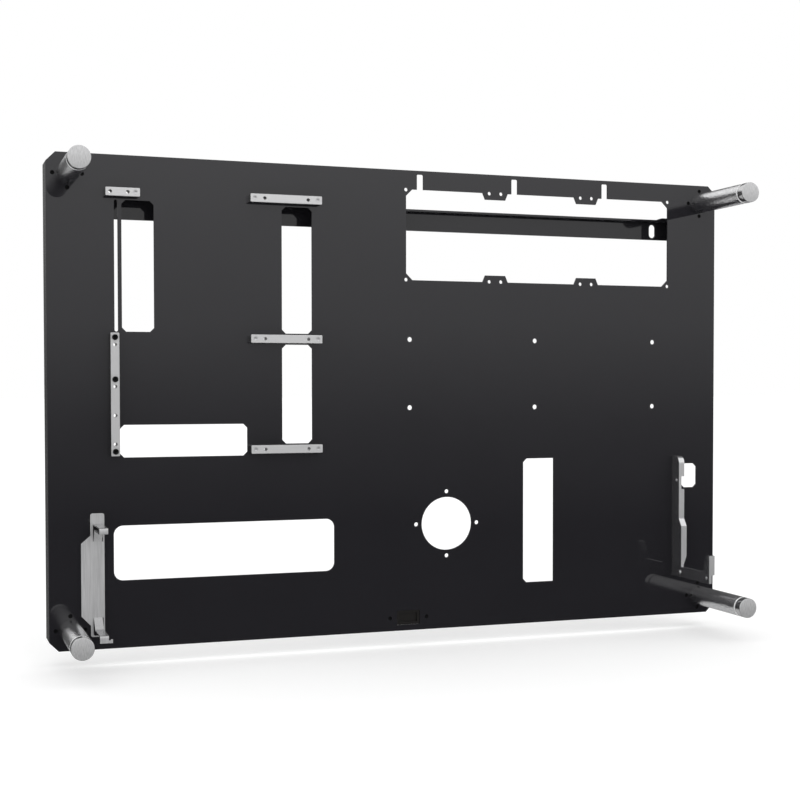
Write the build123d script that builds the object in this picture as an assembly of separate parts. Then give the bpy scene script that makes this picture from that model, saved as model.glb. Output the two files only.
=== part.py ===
from build123d import *
import math
import os

# Wall-mounted open computer case.  A steel back panel with folded sides carries the board bars,
# the card bracket, the power supply bracket and four front posts.  Four folded corner brackets
# stiffen it from behind, and the upper two hang in the top flange of a slotted wall rail.
#
# Every piece is laid out in the panel's own axes: x to the right, y up and z out of the front
# face, with the origin in the middle of that face.  PART_FRAME turns this into the part's
# frame: +Z up, +Y into the wall, and the origin on the wall, midway between the wall slots.

# Back panel
panel_width = 820.0
panel_height = 540.0
panel_sheet = 2.0
panel_return = 36.5
panel_corner_cut = 10.0
panel_edge_round = 0.8
front_to_wall = 37.5
opening_corner = 4.4

# The panel's edges.  Everything on the panel is placed from the two that it is nearest to.
LEFT = -panel_width / 2
RIGHT = panel_width / 2
TOP = panel_height / 2
BOTTOM = -panel_height / 2

# Fan openings in the panel
fan_count = 3
fan_pitch = 120.0
fan_hole_pitch = 105.0
fan_hole_bore = 4.3
fan_first_inset = 412.5
fan_first_x = RIGHT - fan_first_inset
fan_top_drop = 22.5
fan_top_y = TOP - fan_top_drop
fan_opening_height = 105.9
fan_corner_cut = 7.7
fan_tab_base = 32.4
fan_tab_tip = 25.8
fan_tab_gap = 90.2
fan_slot_width = 7.8
fan_slot_height = 18.2
fan_slot_offset = 17.3
fan_slot_round = 1.6

# Plain openings: how far the centre of each is from the side, and from the top or bottom edge
slim_slot_inset = 73.6
slim_slot_width = 3.8
left_opening_inset = 97.2
left_opening_width = 35.0
long_openings_drop = 120.6
long_openings_height = 143.6
upper_opening_inset = 276.2
upper_opening_width = 35.2
middle_opening_drop = 261.3
middle_opening_height = 112.6
lower_cable_opening_inset = 147.5
lower_cable_opening_drop = 312.5
lower_cable_opening_width = 141.6
lower_cable_opening_height = 35.8
card_opening_inset = 194.6
card_opening_rise = 104.6
card_opening_width = 250.4
card_opening_height = 60.5
card_opening_round = 10.0
drive_opening_inset = 243.2
drive_opening_rise = 124.8
drive_opening_width = 40.2
drive_opening_height = 150.6
plug_opening_inset = 36.0
plug_opening_rise = 174.9
plug_opening_width = 21.8
plug_opening_height = 30.3
plug_opening_corner = 4.2

# The same openings, each as its centre x and y, width and height
slim_slot = (LEFT + slim_slot_inset, TOP - long_openings_drop, slim_slot_width, long_openings_height)
left_opening = (LEFT + left_opening_inset, TOP - long_openings_drop, left_opening_width,
                long_openings_height)
upper_opening = (LEFT + upper_opening_inset, TOP - long_openings_drop, upper_opening_width,
                 long_openings_height)
middle_opening = (LEFT + upper_opening_inset, TOP - middle_opening_drop, upper_opening_width,
                  middle_opening_height)
lower_cable_opening = (LEFT + lower_cable_opening_inset, TOP - lower_cable_opening_drop,
                       lower_cable_opening_width, lower_cable_opening_height)
card_opening = (LEFT + card_opening_inset, BOTTOM + card_opening_rise, card_opening_width,
                card_opening_height)
drive_opening = (RIGHT - drive_opening_inset, BOTTOM + drive_opening_rise, drive_opening_width,
                 drive_opening_height)
plug_opening = (RIGHT - plug_opening_inset, BOTTOM + plug_opening_rise, plug_opening_width,
                plug_opening_height)

# Pump hole and the six-hole grid
pump_inset = 362.0
pump_x = RIGHT - pump_inset
pump_rise = 124.7
pump_y = BOTTOM + pump_rise
pump_bore = 63.0
pump_hole_circle = 76.4
pump_hole_bore = 5.0
grid_left_inset = 408.0
grid_left_x = RIGHT - grid_left_inset
grid_top_drop = 197.5
grid_top_y = TOP - grid_top_drop
grid_pitch_x = 160.0
grid_pitch_y = 80.0
grid_columns = 3
grid_rows = 2
grid_bore = 5.8

# Wall rail
rail_end_gap = 5.0
rail_height = 24.0
rail_sheet = 2.5
rail_flange = 13.0
rail_top_drop = 42.4
rail_top_y = TOP - rail_top_drop
wall_slot_inset = 70.5
wall_slot_x = RIGHT - wall_slot_inset
wall_slot_width = 8.8
wall_slot_height = 16.8
wall_slot_drop = 13.2
wall_slot_y = rail_top_y - wall_slot_drop

# Front posts and their caps
post_diameter = 23.6
post_inset = 22.5
post_reach = 120.0
cap_thickness = 10.0
cap_groove = 1.8
cap_neck_diameter = 18.0
cap_chamfer = 0.7
post_chamfer = 1.2
cap_stud_length = 11.0
post_thread = 6.0
post_thread_depth = 14.0
post_screw_circle = 31.1

# Small screws: thread, head diameter, head height and hexagon key
tiny_thread = 2.5
tiny_head = 4.7
tiny_head_height = 1.1
tiny_key = 1.5
small_thread = 3.0
small_head = 5.6
small_head_height = 2.0
flush_head = 5.5
flush_head_height = 1.3
small_key = 2.0
board_head = 6.2
board_head_height = 2.2
key_depth_share = 0.6
head_edge_share = 0.2
post_bolt_head = 10.0
post_bolt_head_height = 4.0
post_bolt_key = 4.0
thread_slack = 1.0

# Corner brackets behind the panel
bracket_sheet = 2.5
bracket_edge_gap = 2.0
bracket_base = 37.0
bracket_rear_width = 24.0
bracket_rail_gap = 3.0
bracket_bend = 2.2
tongue_width = 12.0
tongue_length = 10.0
tongue_chamfer = 3.0
tongue_play = 0.5
lip_reach = 64.0
lip_ramp = 5.0
lip_end = 0.4
pad_diameter = 20.0
pad_thickness = 2.5
pad_chamfer = 0.6

# Board bars on the pattern of a full-size board
board_inset = 70.5
board_x = LEFT + board_inset
board_drop = 41.4
board_y = TOP - board_drop
board_first_offset = 22.86
board_column_1 = 154.94
board_column_2 = 227.33
board_row_1 = 157.48
board_row_2 = 203.2
board_row_3 = 281.94
bar_width = 9.4
bar_depth = 12.0
bar_end = 5.0
bar_corner = 1.0
bar_edge = 0.35
bar_spare_bore = 4.0
bar_spare_pitch = 50.0
short_bar_length = 37.0
short_bar_spare_pitch = 18.8
column_spare_offset = 8.0
column_spare_drop = 242.6
column_spare_y = board_y - column_spare_drop
board_screw_length = 8.0
rear_screw_length = 10.0
rear_screw_offset = 12.0
column_rear_offset = 35.0
column_rear_middle_drop = 223.6
column_rear_middle = board_y - column_rear_middle_drop

# Card bracket, a folded plate with two sprung arms
card_left_inset = 34.0
card_left = LEFT + card_left_inset
card_right_inset = 59.0
card_right = LEFT + card_right_inset
card_top_rise = 149.4
card_top = BOTTOM + card_top_rise
card_bottom_rise = 14.2
card_bottom = BOTTOM + card_bottom_rise
card_sheet = 2.0
card_tab_width = 15.0
card_shoulder_drop = 24.2
card_shoulder_slope = 8.6
card_foot_rise = 12.5
card_foot_slope = 10.5
card_corner = 2.4
card_arm_width = 9.2
card_arm_inset = 7.2
card_arm_x = card_right - card_arm_inset
card_window_left_gap = 0.3
card_window_right_gap = 1.1
card_window_round = 1.8
card_arm_sheet = 1.6
card_arm_bend = 1.9
card_arm_reach = 56.0
upper_arm_root_drop = 30.9
upper_arm_root = card_top - upper_arm_root_drop
upper_arm_drop = 17.6
upper_arm_y = card_top - upper_arm_drop
upper_arm_top_drop = 11.4
upper_arm_top = card_top - upper_arm_top_drop
upper_arm_rise = 12.3
lower_arm_root_rise = 20.8
lower_arm_root = card_bottom + lower_arm_root_rise
lower_arm_y_rise = 8.8
lower_arm_y = card_bottom + lower_arm_y_rise
lower_arm_rise = 13.5
card_lower_window_end_rise = 1.4
card_lower_window_end = card_bottom + card_lower_window_end_rise
card_foot_lip = 7.2
card_hook_width = 13.4
card_hook_height = 3.0
card_hook_nub = 2.2
card_screw_drops = (5.4, 74.4)
card_screw_insets = (7.5, 12.5)
card_screw_skin = 0.5

# Power supply bracket, a plate that stands out from the panel
supply_inset = 59.5
supply_x = RIGHT - supply_inset
supply_plate = 3.5
supply_leg = 7.5
supply_top_rise = 200.2
supply_top = BOTTOM + supply_top_rise
supply_top_round = 9.0
supply_upper_depth = 17.8
supply_lower_depth = 24.2
supply_step_top_drop = 78.0
supply_step_top = supply_top - supply_step_top_drop
supply_step_bottom_drop = 86.9
supply_step_bottom = supply_top - supply_step_bottom_drop
supply_leg_end_drop = 124.3
supply_leg_end = supply_top - supply_leg_end_drop
supply_taper = 11.3
supply_arm_top_drop = 137.6
supply_arm_top = supply_top - supply_arm_top_drop
supply_arm_bottom_drop = 150.4
supply_arm_bottom = supply_top - supply_arm_bottom_drop
supply_arm_reach = 92.2
supply_toe_top_drop = 116.8
supply_toe_top = supply_top - supply_toe_top_drop
supply_toe_back = 78.6
supply_toe_tip = 85.6
supply_toe_slope = 12.0
supply_toe_end_drop = 140.3
supply_toe_end = supply_top - supply_toe_end_drop
supply_hole_bore = 4.5
supply_hole_y = (supply_arm_top + supply_arm_bottom) / 2
supply_hole_depth_setback = 70.4
supply_hole_depth = supply_arm_reach - supply_hole_depth_setback
supply_hole_pitch = 64.0
supply_hole_rise = 114.0
supply_hole_shift = 10.0
supply_cut_top_drop = 25.2
supply_cut_top = supply_top - supply_cut_top_drop
supply_cut_bottom_drop = 41.1
supply_cut_bottom = supply_top - supply_cut_bottom_drop
supply_screw_drops = (12.2, 65.2, 120.2)
supply_screw_length = 14.0

# Switch module low in the middle of the panel
switch_rise = 15.2
switch_y = BOTTOM + switch_rise
switch_width = 28.0
switch_height = 16.6
switch_depth = 12.0
switch_recess = 1.0
switch_rim = 3.0
switch_pocket = 2.4
switch_ear_thickness = 3.0
switch_ear_end = 7.0
switch_screw_pitch = 45.2
switch_fit = 0.2
switch_screw_length = 4.5

# Worked out from the sizes above
POST_X = RIGHT - post_inset
POST_Y = TOP - post_inset
RAIL_HALF = RIGHT - rail_end_gap
RAIL_BOTTOM = rail_top_y - rail_height
BRACKET_BACK = -panel_sheet - bracket_sheet
RAIL_FRONT = -front_to_wall + rail_sheet + rail_flange
CARD_SCREW_DEPTH = card_sheet - card_screw_skin

# How far a cutter runs past what it cuts, and how near two coordinates count as the same
CUT_MARGIN = 1.0
SAME_PLACE = 1e-6

PART_FRAME = Plane(origin=(0, -front_to_wall, -wall_slot_y), x_dir=(1, 0, 0), z_dir=(0, -1, 0))


def block(x0, x1, y0, y1, z0, z1):
    """A box between three pairs of limits."""
    middle = Pos((x0 + x1) / 2, (y0 + y1) / 2, (z0 + z1) / 2)
    return middle * Box(abs(x1 - x0), abs(y1 - y0), abs(z1 - z0))


def rod(diameter, z0, z1, x=0.0, y=0.0):
    """A round bar along z between two heights."""
    return Pos(x, y, (z0 + z1) / 2) * Cylinder(diameter / 2, abs(z1 - z0))


def bores(points, diameter, z0, z1):
    """Round bars along z at each point, to be cut away."""
    return [rod(diameter, z0, z1, x, y) for x, y in points]


def mirror_x(shape):
    """The same piece on the other side of the panel."""
    return mirror(shape, about=Plane.YZ)


def cut_corner_window(window, corner):
    """A rectangular opening whose corners are cut at 45 degrees."""
    x, y, width, height = window
    outline = Rectangle(width, height)
    return Pos(x, y) * chamfer(outline.vertices(), corner)


def around(x, y, circle, count, first_angle):
    """Points evenly spaced on a circle."""
    angles = [first_angle + 360.0 * i / count for i in range(count)]
    return [
        (x + circle / 2 * math.cos(math.radians(a)), y + circle / 2 * math.sin(math.radians(a)))
        for a in angles
    ]


def screw(thread, length, head, head_height, key, countersunk=False):
    """A socket screw along z: its head ends at z = 0 if flush, or starts there if proud."""
    shank = rod(thread, -length, 0)
    if countersunk:
        cone = Pos(0, 0, -head_height / 2) * Cone(thread / 2, head / 2, head_height)
        top = 0.0
        body = shank + cone
    else:
        top = head_height
        body = shank + rod(head, 0, head_height)
        rim = body.edges().filter_by(GeomType.CIRCLE).sort_by(Axis.Z)[-1]
        body = chamfer(rim, head_height * head_edge_share)
    socket = extrude(Pos(0, 0, top) * RegularPolygon(key / math.sqrt(3), 6), -head_height * key_depth_share)
    return body - socket


def placed(shape, points, z, turned=False):
    """Copies of a screw at each point, its seat at height z, turned to face the wall or not."""
    flip = Rot(0, 180, 0) if turned else Rot(0, 0, 0)
    return [Pos(x, y, z) * flip * shape for x, y in points]


def post_points():
    """The four post centres: upper left, upper right, lower left and lower right."""
    return [(sx * POST_X, sy * POST_Y) for sy in (1, -1) for sx in (-1, 1)]


def post_screw_points():
    """Four screws in a diamond round each post."""
    return [p for x, y in post_points() for p in around(x, y, post_screw_circle, 4, 0)]


def fan_columns():
    """The x of the left and right hole column of each fan."""
    return [fan_first_x + i * fan_pitch + side for i in range(fan_count) for side in (0, fan_hole_pitch)]


def fan_points():
    """Four screw holes for each fan."""
    return [(x, y) for x in fan_columns() for y in (fan_top_y, fan_top_y - fan_hole_pitch)]


def fan_opening():
    """One long opening with a tab round each pair of screw holes and a slot above each fan."""
    width = (fan_count - 1) * fan_pitch + fan_hole_pitch
    centre_x = fan_first_x + width / 2
    centre_y = fan_top_y - fan_hole_pitch / 2
    outline = cut_corner_window((centre_x, centre_y, width, fan_opening_height), fan_corner_cut)
    for i in range(1, fan_count):
        x = fan_first_x + i * fan_pitch - (fan_pitch - fan_hole_pitch) / 2
        for side in (1, -1):
            edge = centre_y + side * fan_opening_height / 2
            tip = centre_y + side * fan_tab_gap / 2
            tab = make_face(Polyline(
                (x - fan_tab_base / 2, edge + side * CUT_MARGIN),
                (x + fan_tab_base / 2, edge + side * CUT_MARGIN),
                (x + fan_tab_base / 2, edge),
                (x + fan_tab_tip / 2, tip),
                (x - fan_tab_tip / 2, tip),
                (x - fan_tab_base / 2, edge),
                close=True,
            ))
            outline -= tab
    for i in range(fan_count):
        x = fan_first_x + i * fan_pitch + fan_slot_offset
        slot = Rectangle(fan_slot_width, fan_slot_height * 2)
        slot = fillet(slot.vertices(), fan_slot_round)
        outline += Pos(x, fan_top_y) * slot & Pos(x, fan_top_y + fan_slot_height / 2) * Rectangle(
            fan_slot_width, fan_slot_height)
    return outline


def grid_points():
    """The plain grid of larger holes."""
    return [
        (grid_left_x + i * grid_pitch_x, grid_top_y - j * grid_pitch_y)
        for i in range(grid_columns) for j in range(grid_rows)
    ]


def board_rows():
    """The y of the board's first row and of the two other full rows."""
    return board_y, board_y - board_row_1, board_y - board_row_3


def board_wide_points():
    """Board screws on the flat bars: one on the short bar and two on each long bar."""
    points = [(board_x + board_first_offset, board_y)]
    for y in board_rows():
        points += [(board_x + board_column_1, y), (board_x + board_column_2, y)]
    return points


def board_column_points():
    """Board screws on the upright bar."""
    return [(board_x, board_y - drop) for drop in (board_row_1, board_row_2, board_row_3)]


def long_bar_x():
    """The middle of the three long bars."""
    return board_x + (board_column_1 + board_column_2) / 2


def short_bar_x():
    """The middle of the short bar."""
    return board_x + board_first_offset + bar_end - short_bar_length / 2


def short_bar_spares():
    """Two open holes in the short bar."""
    first = short_bar_x() - short_bar_length / 2 + bar_end
    return [(first, board_y), (first + short_bar_spare_pitch, board_y)]


def long_bar_spares(y):
    """Two open holes in a long bar."""
    return [(long_bar_x() + side * bar_spare_pitch / 2, y) for side in (-1, 1)]


def column_spares():
    """Four open holes in the upright bar."""
    top, second, last = [y for _, y in board_column_points()]
    below = [top - column_spare_offset, second - column_spare_offset]
    return [(board_x, y) for y in below + [column_spare_y, last + column_spare_offset]]


def spare_points():
    """Every open hole that runs through a bar and the panel."""
    rows = [p for y in board_rows() for p in long_bar_spares(y)]
    return short_bar_spares() + rows + column_spares()


def bar_rear_points():
    """Screws that come through the panel from behind into the bars."""
    rows = [(long_bar_x() + side * rear_screw_offset, y) for y in board_rows() for side in (-1, 1)]
    short = [(sum(x for x, _ in short_bar_spares()) / 2, board_y)]
    column = [(board_x, column_rear_middle + side * column_rear_offset) for side in (-1, 1)]
    return rows + short + column


def card_screw_points():
    """Screws from behind into the card bracket's plate."""
    return [(card_right - inset, card_top - drop) for inset, drop in zip(card_screw_insets, card_screw_drops)]


def supply_screw_points():
    """Screws from behind into the thick leg of the power supply bracket."""
    return [(supply_x + supply_leg / 2, supply_top - drop) for drop in supply_screw_drops]


def switch_screw_points():
    """The two screws of the switch module."""
    return [(side * switch_screw_pitch / 2, switch_y) for side in (-1, 1)]


def countersinks(points, thread, head, head_height):
    """Cones that let flush screw heads into the front face."""
    cone = Pos(0, 0, -head_height / 2) * Cone(thread / 2, head / 2, head_height)
    return [Pos(x, y, 0) * cone for x, y in points]


def side_return():
    """The right side of the panel, folded back along a grooved bend with a tight outer edge."""
    fold = block(RIGHT - panel_sheet, RIGHT, BOTTOM, TOP, -panel_return, 0)
    bend = [e for e in fold.edges().filter_by(Axis.Y) if e.center().X + e.center().Z > RIGHT - SAME_PLACE]
    return fillet(bend, panel_edge_round)


def make_back_panel():
    """A sheet with every opening cut, its corners cut off and its sides folded back."""
    blank = chamfer(Rectangle(panel_width, panel_height).vertices(), panel_corner_cut)
    outline = blank & Rectangle(panel_width - 2 * panel_sheet, panel_height)
    slim = Pos(slim_slot[0], slim_slot[1]) * SlotOverall(slim_slot[3], slim_slot[2], rotation=90)
    card = Pos(card_opening[0], card_opening[1]) * fillet(
        Rectangle(card_opening[2], card_opening[3]).vertices(), card_opening_round)
    face = outline - fan_opening() - slim - card
    for window in (left_opening, upper_opening, middle_opening, lower_cable_opening):
        face -= cut_corner_window(window, opening_corner)
    face -= cut_corner_window(plug_opening, plug_opening_corner)
    drive = Rectangle(drive_opening[2], drive_opening[3])
    drive = chamfer(drive.vertices().group_by(Axis.X)[0], opening_corner)
    face -= Pos(drive_opening[0], drive_opening[1]) * drive
    face -= Pos(0, switch_y) * Rectangle(switch_width + 2 * switch_fit, switch_height + 2 * switch_fit)
    sheet = extrude(face, -panel_sheet)
    fold = side_return() & extrude(blank, -panel_return)
    sheet += [fold, mirror_x(fold)]

    through = (-panel_sheet, 0)
    sheet -= bores(fan_points(), fan_hole_bore, *through)
    sheet -= bores(grid_points(), grid_bore, *through)
    sheet -= bores([(pump_x, pump_y)], pump_bore, *through)
    sheet -= bores(around(pump_x, pump_y, pump_hole_circle, 4, 0), pump_hole_bore, *through)
    sheet -= bores(spare_points(), bar_spare_bore, *through)
    sheet -= bores(post_points(), post_thread, *through)
    sheet -= bores(post_screw_points(), tiny_thread, *through)
    sheet -= countersinks(post_screw_points(), tiny_thread, tiny_head, tiny_head_height)
    rear = bar_rear_points() + card_screw_points() + supply_screw_points()
    sheet -= bores(rear, small_thread, *through)
    sheet -= bores(switch_screw_points(), tiny_thread, *through)
    return sheet - countersinks(switch_screw_points(), tiny_thread, tiny_head, tiny_head_height)


def tongue_x():
    """The middle of the tongue on the right upper bracket."""
    return RIGHT - panel_sheet - bracket_edge_gap - bracket_rear_width / 2


def tongue_z():
    """The face of the tongue that looks at the wall."""
    return -front_to_wall + rail_sheet + bracket_rail_gap


def make_wall_rail():
    """An angle section with two upright wall slots and a slot in its flange for each tongue."""
    wall = -front_to_wall
    rail = block(-RAIL_HALF, RAIL_HALF, RAIL_BOTTOM, rail_top_y, wall, wall + rail_sheet)
    rail += block(-RAIL_HALF, RAIL_HALF, rail_top_y - rail_sheet, rail_top_y, wall, RAIL_FRONT)
    bend = [
        e for e in rail.edges().filter_by(Axis.X)
        if abs(e.center().Z - wall) < SAME_PLACE and abs(e.center().Y - rail_top_y) < SAME_PLACE
    ]
    rail = fillet(bend, rail_sheet)
    for side in (-1, 1):
        x = side * wall_slot_x
        slot = Pos(x, wall_slot_y) * SlotOverall(wall_slot_height, wall_slot_width, rotation=90)
        rail -= Pos(0, 0, wall) * extrude(slot, rail_sheet)
        tongue = side * tongue_x()
        reach = tongue_width / 2 + tongue_play
        rail -= block(tongue - reach, tongue + reach, rail_top_y - rail_sheet, rail_top_y,
                      tongue_z() - tongue_play, tongue_z() + bracket_sheet + tongue_play)
    return rail


def bracket_room():
    """The space behind the panel that the corner brackets keep inside."""
    inset = panel_sheet + bracket_edge_gap
    outline = Rectangle(panel_width - 2 * inset, panel_height - 2 * inset)
    return extrude(chamfer(outline.vertices(), panel_corner_cut), -front_to_wall)


def hanging_lip(outer):
    """A folded lip that lies on the rail's flange, with a slope at its inner end."""
    start = outer - lip_reach
    face = make_face(Polyline(
        (start, rail_top_y),
        (start, rail_top_y + lip_end),
        (start + lip_ramp, rail_top_y + bracket_sheet),
        (outer, rail_top_y + bracket_sheet),
        (outer, rail_top_y),
        close=True,
    ))
    return Pos(0, 0, tongue_z()) * extrude(face, RAIL_FRONT - tongue_z())


def make_corner_bracket(upper):
    """A folded bracket for a right corner: base, web, and a rear flange that hangs or rests."""
    outer = RIGHT - panel_sheet - bracket_edge_gap
    top = POST_Y + bracket_base / 2
    base_bottom = POST_Y - bracket_base / 2
    bottom = rail_top_y if upper else base_bottom
    base_z = -panel_sheet
    rear_z = tongue_z() if upper else -front_to_wall + pad_thickness
    bracket = block(outer - bracket_base, outer, base_bottom, top, BRACKET_BACK, base_z)
    bracket += block(outer - bracket_sheet, outer, bottom, top, rear_z, base_z)
    bracket += block(outer - bracket_rear_width, outer, bottom, top, rear_z, rear_z + bracket_sheet)
    if upper:
        tongue = block(tongue_x() - tongue_width / 2, tongue_x() + tongue_width / 2,
                       rail_top_y - tongue_length, rail_top_y, rear_z, rear_z + bracket_sheet)
        tip = tongue.edges().filter_by(Axis.Z).group_by(Axis.Y)[0]
        bracket += [chamfer(tip, tongue_chamfer), hanging_lip(outer)]
    outer_bends = [
        e for e in bracket.edges().filter_by(Axis.Y)
        if abs(e.center().X - outer) < SAME_PLACE and e.length > bracket_sheet
    ]
    bracket = fillet(outer_bends, bracket_bend) & bracket_room()
    post = (POST_X, POST_Y)
    bracket -= bores([post], post_thread, BRACKET_BACK, base_z)
    bracket -= bores(around(*post, post_screw_circle, 4, 0), tiny_thread, BRACKET_BACK, base_z)
    return bracket if upper else mirror(bracket, about=Plane.XZ)


def make_wall_pad():
    """A soft disc under the rear flange of the right lower bracket."""
    wall = -front_to_wall
    pad = rod(pad_diameter, wall, wall + pad_thickness, tongue_x(), -POST_Y)
    return chamfer(pad.edges().group_by(Axis.Z)[0], pad_chamfer)


def make_post():
    """A turned post with a threaded hole in each end, standing on the panel."""
    length = post_reach - cap_thickness - cap_groove
    post = rod(post_diameter, 0, length)
    rim = post.edges().filter_by(GeomType.CIRCLE).group_by(Axis.Z)[-1]
    post = chamfer(rim, post_chamfer)
    post -= rod(post_thread, 0, post_thread_depth)
    return post - rod(post_thread, length - post_thread_depth, length)


def make_cap():
    """A turned cap with a narrower neck and a threaded stud."""
    length = post_reach - cap_thickness - cap_groove
    disc = rod(post_diameter, post_reach - cap_thickness, post_reach)
    disc = chamfer(disc.edges().filter_by(GeomType.CIRCLE), cap_chamfer)
    neck = rod(cap_neck_diameter, length, post_reach - cap_thickness)
    return disc + neck + rod(post_thread, length - cap_stud_length, length)


def make_bar(x, y, length, upright, threads, spares, rear):
    """A flat bar with threaded board holes, open spare holes and threads for the rear screws."""
    size = (bar_width, length) if upright else (length, bar_width)
    bar = extrude(Pos(x, y) * fillet(Rectangle(*size).vertices(), bar_corner), bar_depth)
    bar = chamfer(bar.faces().sort_by(Axis.Z)[-1].edges(), bar_edge)
    bar -= bores(threads, small_thread, bar_depth - board_screw_length - thread_slack, bar_depth)
    bar -= bores(spares, bar_spare_bore, 0, bar_depth)
    return bar - bores(rear, small_thread, 0, rear_screw_length - panel_sheet + thread_slack)


def near(points, x, y, half_x, half_y):
    """The points that lie inside a rectangle."""
    return [p for p in points if abs(p[0] - x) <= half_x and abs(p[1] - y) <= half_y]


def make_flat_bar(x, y, length, spares):
    """A level bar whose board screws are sunk flush."""
    reach = (length / 2, bar_width / 2)
    threads = near(board_wide_points(), x, y, *reach)
    rear = near(bar_rear_points(), x, y, *reach)
    bar = make_bar(x, y, length, False, threads, spares, rear)
    cones = countersinks(threads, small_thread, flush_head, flush_head_height)
    return bar - [Pos(0, 0, bar_depth) * cone for cone in cones]


def make_upright_bar():
    """The upright bar between the second and the last board row."""
    top = board_y - board_row_1 + bar_end
    bottom = board_y - board_row_3 - bar_end
    middle = (top + bottom) / 2
    rear = near(bar_rear_points(), board_x, middle, bar_width / 2, (top - bottom) / 2)
    return make_bar(board_x, middle, top - bottom, True, board_column_points(), column_spares(), rear)


def card_arm(path):
    """A strip folded out of the plate, from the depth and height of each corner of its centre."""
    centre = FilletPolyline(*[(0, y, z) for z, y in path], radius=card_arm_bend)
    start = Plane(origin=centre @ 0, z_dir=centre % 0, x_dir=(1, 0, 0))
    strip = sweep(start * Rectangle(card_arm_width, card_arm_sheet), path=centre)
    return Pos(card_arm_x, 0, 0) * strip


def upper_card_arm():
    """A loop that leaves the plate at a slope, runs forward, turns up and comes back level."""
    half = card_arm_sheet / 2
    front = card_arm_reach - half
    top = upper_arm_top - half
    return card_arm([
        (card_sheet - half, upper_arm_root),
        (upper_arm_rise, upper_arm_y),
        (front, upper_arm_y),
        (front, top),
        (card_sheet - half, top),
    ])


def lower_card_arm():
    """A strip that leaves the plate at a slope, runs forward and ends in a lip turned down."""
    half = card_arm_sheet / 2
    front = card_arm_reach - half
    return card_arm([
        (card_sheet - half, lower_arm_root),
        (lower_arm_rise, lower_arm_y),
        (front, lower_arm_y),
        (front, lower_arm_y - card_foot_lip + half),
    ])


def card_window(low, high, rounded):
    """The opening that one arm leaves in the plate, with its lower corners rounded or not."""
    left = card_arm_x - card_arm_width / 2 - card_window_left_gap
    right = card_arm_x + card_arm_width / 2 + card_window_right_gap
    window = Pos((left + right) / 2, (low + high) / 2) * Rectangle(right - left, high - low)
    if rounded:
        window = fillet(window.vertices().group_by(Axis.Y)[0], card_window_round)
    return window


def make_card_bracket():
    """A plate with a narrow tab at each end, a looped arm above and a plain arm below."""
    tab_left = card_right - card_tab_width
    shoulder = card_top - card_shoulder_drop
    foot = card_bottom + card_foot_rise
    plate = make_face(Polyline(
        (tab_left, card_top),
        (card_right, card_top),
        (card_right, card_bottom),
        (tab_left, card_bottom),
        (tab_left, foot),
        (card_left, foot + card_foot_slope),
        (card_left, shoulder - card_shoulder_slope),
        (tab_left, shoulder),
        close=True,
    ))
    ends = plate.vertices().group_by(Axis.Y)
    plate = fillet(ends[0] + ends[-1], card_corner)
    plate -= card_window(upper_arm_root, upper_arm_top - card_arm_sheet / 2, False)
    plate -= card_window(card_lower_window_end, lower_arm_root, True)
    bracket = extrude(plate, card_sheet) + upper_card_arm() + lower_card_arm()

    lip_back = card_arm_reach - card_arm_sheet
    hook_left = card_arm_x - card_arm_width / 2
    hook_right = hook_left + card_hook_width
    hook_bottom = lower_arm_y - card_foot_lip
    hook_top = hook_bottom + card_hook_height
    bracket += block(hook_left, hook_right, hook_bottom, hook_top, lip_back, card_arm_reach)
    bracket += block(hook_right - card_hook_nub, hook_right, hook_bottom, hook_top + card_hook_nub / 2,
                     lip_back, card_arm_reach)
    return bracket - bores(card_screw_points(), small_thread, 0, CARD_SCREW_DEPTH)


def supply_profile(points, thickness):
    """A plate standing out from the panel, from its outline in depth and height."""
    face = make_face(Polyline(*[(0, y, z) for z, y in points], close=True))
    return Pos(supply_x, 0, 0) * extrude(face, thickness, dir=(1, 0, 0))


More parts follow.
